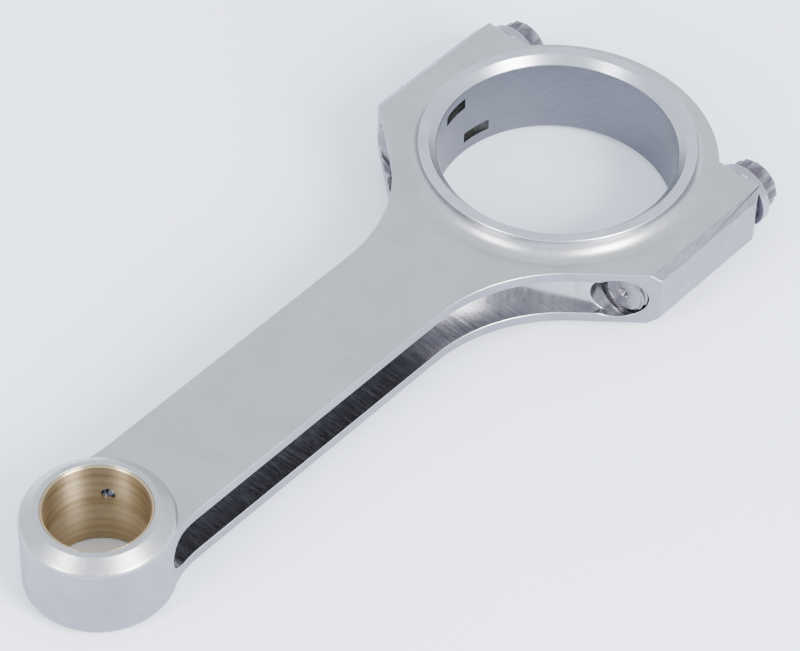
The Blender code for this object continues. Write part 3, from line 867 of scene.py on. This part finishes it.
def bolt_steel():
    """Alloy-steel bolts, ground and blackened: grey with a violet cast, and a lighter grey on their sharpest
    corners."""
    material, tree, shader, place = begun("ground_blackened_bolt_steel", metallic=1.0)
    ground = add(tree, "VectorMath", 0, {0: place, 1: (0.3, 1.0, 0.3)}, operation="MULTIPLY")
    # Grinding lines 0.4 mm apart, across the bolt's axis.
    height = add(tree, "TexNoise", "Fac", {"Vector": ground, "Scale": 1 / 0.4, "Detail": 3.0})
    # The sharpest corners, found by pointiness, take a lighter grey.
    corner = add(tree, "NewGeometry", "Pointiness", {})
    bright_corner_mask = add(tree, "MapRange", 0, {"Value": corner, "From Min": 0.5, "From Max": 0.58})
    stain = add(tree, "TexNoise", "Fac", {"Vector": place, "Scale": 1 / 2.5, "Detail": 4.0})
    tone = add(tree, "MapRange", 0, {"Value": stain, "From Min": 0.35, "From Max": 0.65})
    dark = add(tree, "Mix", 2, {0: tone, 6: linear("#5A555A"), 7: linear("#6C676C")}, data_type="RGBA")
    colour = add(tree, "Mix", 2, {0: bright_corner_mask, 6: dark, 7: linear("#A4A2AA")}, data_type="RGBA")
    roughness = add(tree, "MapRange", 0, {"Value": height, **NOISE, "To Min": 0.24, "To Max": 0.34})
    finished(tree, shader, colour, roughness, height, 0.003)
    return material


def dowel_steel():
    """Hardened sleeves, ground on the outside: bright, with fine lines round them."""
    material, tree, shader, place = begun("ground_dowel_steel", metallic=1.0)
    ground = add(tree, "VectorMath", 0, {0: place, 1: (0.05, 1.0, 0.05)}, operation="MULTIPLY")
    # Grinding lines 0.25 mm apart.
    height = add(tree, "TexNoise", "Fac", {"Vector": ground, "Scale": 1 / 0.25, "Detail": 2.0})
    tone = add(tree, "MapRange", 0, {"Value": height, **NOISE})
    colour = add(tree, "Mix", 2, {0: tone, 6: linear("#9A9AA2"), 7: linear("#AEAEB6")}, data_type="RGBA")
    roughness = add(tree, "MapRange", 0, {"Value": tone, "To Min": 0.18, "To Max": 0.28})
    finished(tree, shader, colour, roughness, height, 0.002)
    return material


def white_board():
    """The board under the rod: matt, nearly white, with the faint unevenness of paper."""
    material, tree, shader, place = begun("matt_white_board")
    cloud = add(tree, "TexNoise", "Fac", {"Vector": place, "Scale": 1 / 60, "Detail": 3.0})
    colour = add(tree, "Mix", 2, {0: cloud, 6: linear("#E4E9F2"), 7: linear("#EBEFF6")}, data_type="RGBA")
    fibre = add(tree, "TexNoise", "Fac", {"Vector": place, "Scale": 1 / 1.5, "Detail": 3.0})
    roughness = add(tree, "MapRange", 0, {"Value": fibre, "To Min": 0.55, "To Max": 0.75})
    finished(tree, shader, colour, roughness, fibre, 0.01)
    return material


def paint(piece, materials, choose):
    """Gives each face the finish that choose picks by its place, in rod coordinates, and its normal."""
    for material in materials:
        piece.data.materials.append(material)
    back = FRAME_PLACE.inverted()
    for face in piece.data.polygons:
        face.material_index = choose(back @ face.center, face.normal)


# ---------------------------------------------------------------- the object

rod = finish_steel(make_rod())
cap = finish_steel(make_cap())
bush = make_bush()
bolts = {side: make_bolt(f"twelve_point_bolt_{side}", x) for side, x in (("left", -1), ("right", 1))}
dowels = {side: make_dowel(f"hollow_dowel_{side}", x) for side, x in (("left", -1), ("right", 1))}

PEENED, HONED, TURNED, END_MILLED, ROUGH_MILLED, SLOT_SHADE = range(6)
STEELS = [shot_peened_steel(), honed_steel(), turned_steel()]
STEELS += [end_milled_steel(), rough_milled_steel(), slot_shade_steel()]


def outside_x(y):
    """How far out the rod's side wall stands beside the small end and along the beam."""
    reach = BEAM + BLEND
    rise = math.sqrt((BOSS + BLEND) ** 2 - reach**2)
    up = y + CENTRES
    if up < BOSS * rise / (BOSS + BLEND):
        return math.sqrt(max(BOSS**2 - up**2, 0))
    if up < rise:
        return reach - math.sqrt(BLEND**2 - (rise - up) ** 2)
    return BEAM


def in_channel(at):
    """Whether a place on the steel lies in a side channel, and not on the walls outside it."""
    x = abs(at.x)
    start, on_beam, step_end = -CENTRES + 3, -60, BOLT_X - BOLT_HOLE + 1.0
    if abs(at.z) > CHANNEL + 0.02 or not start < at.y < -SHOULDER_DROP:
        return False
    if at.y < on_beam:
        return x < outside_x(at.y) - 0.1
    off_shoulder = abs(at.y - underside(x)) > 0.15
    off_bore = math.hypot(at.x, at.y) > BORE + BESIDE_IT
    return x < step_end and off_shoulder and off_bore


def steel_place(at, normal):
    """Which finish a place on the steel has, by where it lies and which way it faces."""
    from_pin = math.hypot(at.x, at.y)
    from_bolt = math.hypot(abs(at.x) - BOLT_X, at.z)
    if abs(at.y) < PARTING:
        return TURNED
    if from_pin < BORE + ON_IT and abs(normal.z) < ALONG_IT:
        return HONED
    # A box round both tang slots.
    deep, long, high = 2.4, 8.0, 8.0
    beside_bore = at.x < 0 and BORE + ON_IT < from_pin < BORE + deep
    if beside_bore and abs(at.y) < long and abs(at.z) < high:
        # The tang slots take the painted shade finish.
        return SLOT_SHADE
    if from_bolt < BOLT_HOLE + ON_IT and abs(normal.y) < ALONG_IT:
        return END_MILLED
    if from_pin < RING - ON_IT and abs(at.z) > HALF_WIDTH - BORE_CHAMFER - 0.1:
        return TURNED
    if abs(at.x) > SHOULDER - SIDE_CHAMFER[0] + ON_IT and ALONG_IT < abs(normal.z) < 0.95:
        return ROUGH_MILLED
    return END_MILLED if in_channel(at) else PEENED


bronze, bolt_finish, dowel_finish = bored_bronze(), bolt_steel(), dowel_steel()
for half in (rod, cap):
    paint(half, STEELS, steel_place)
bush.data.materials.append(bronze)
for bolt in bolts.values():
    bolt.data.materials.append(bolt_finish)
for dowel in dowels.values():
    dowel.data.materials.append(dowel_finish)

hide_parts("rod_body")
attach(rod, "rod")
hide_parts("bearing_cap")
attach(cap, "cap")
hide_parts("small_end_bush")
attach(bush, "rod")
for side in ("left", "right"):
    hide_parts(f"cap_bolt_{side}")
    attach(bolts[side], f"bolt_{side}")
    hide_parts(f"dowel_sleeve_{side}")
    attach(dowels[side], "cap")

# ---------------------------------------------------------------- floor, light and camera

FLOOR_SIZE = 6
LIGHTS_AIM = (0, -0.05, 0)


def make_floor():
    """A board under the rod, in metres like the lights and the camera."""
    bpy.ops.mesh.primitive_plane_add(size=FLOOR_SIZE, location=(0, 0, cad_low.z))
    floor = new_primitive("floor")
    floor.data.materials.append(white_board())


def soft_box(name, place, size, power):
    """A white rectangle of light, aimed at the rod."""
    light = bpy.data.lights.new(name, "AREA")
    light.shape = "RECTANGLE"
    light.size, light.size_y = size
    light.energy = power
    obj = bpy.data.objects.new(name, light)
    bpy.context.scene.collection.objects.link(obj)
    obj.location = place
    obj.rotation_euler = (Vector(LIGHTS_AIM) - Vector(place)).to_track_quat("-Z", "Y").to_euler()


def make_camera():
    """Long lens, 0.9 m away, 41 degrees round to the right and 47 degrees up, tipped a little to one side."""
    azimuth, elevation, roll, distance = 0.709, 0.813, 0.024, 907.17
    aim = Vector((4.70, -60.22, 0))
    level = math.cos(elevation)
    out = Vector((math.sin(azimuth) * level, -math.cos(azimuth) * level, math.sin(elevation)))
    right = (-out).cross(Vector((0, 0, 1))).normalized()
    up = right.cross(-out)
    rolled_right = math.cos(roll) * right + math.sin(roll) * up
    rolled_up = math.cos(roll) * up - math.sin(roll) * right
    lens = bpy.data.cameras.new("long lens")
    lens.sensor_width = 36
    lens.lens = 180.29
    lens.clip_start, lens.clip_end = 0.05, 20
    camera = bpy.data.objects.new("camera", lens)
    bpy.context.scene.collection.objects.link(camera)
    turn = Matrix((rolled_right, rolled_up, out)).transposed().to_4x4()
    camera.matrix_world = Matrix.Translation(FRAME_PLACE @ (aim + distance * out)) @ turn
    bpy.context.scene.camera = camera


def make_light():
    """A pale sky for the flat faces, a low key on the right for the bevels, and a fill in front."""
    world = bpy.data.worlds.new("studio")
    world.use_nodes = True
    background = world.node_tree.nodes["Background"]
    background.inputs["Color"].default_value = linear("#DCE5F3")
    background.inputs["Strength"].default_value = 2.5
    bpy.context.scene.world = world
    soft_box("key", place=(1.12, -0.1, 0.67), size=(0.5, 0.8), power=56)
    soft_box("fill", place=(-0.1, -1.13, 0.62), size=(0.3, 0.7), power=20)


make_floor()
make_light()
make_camera()
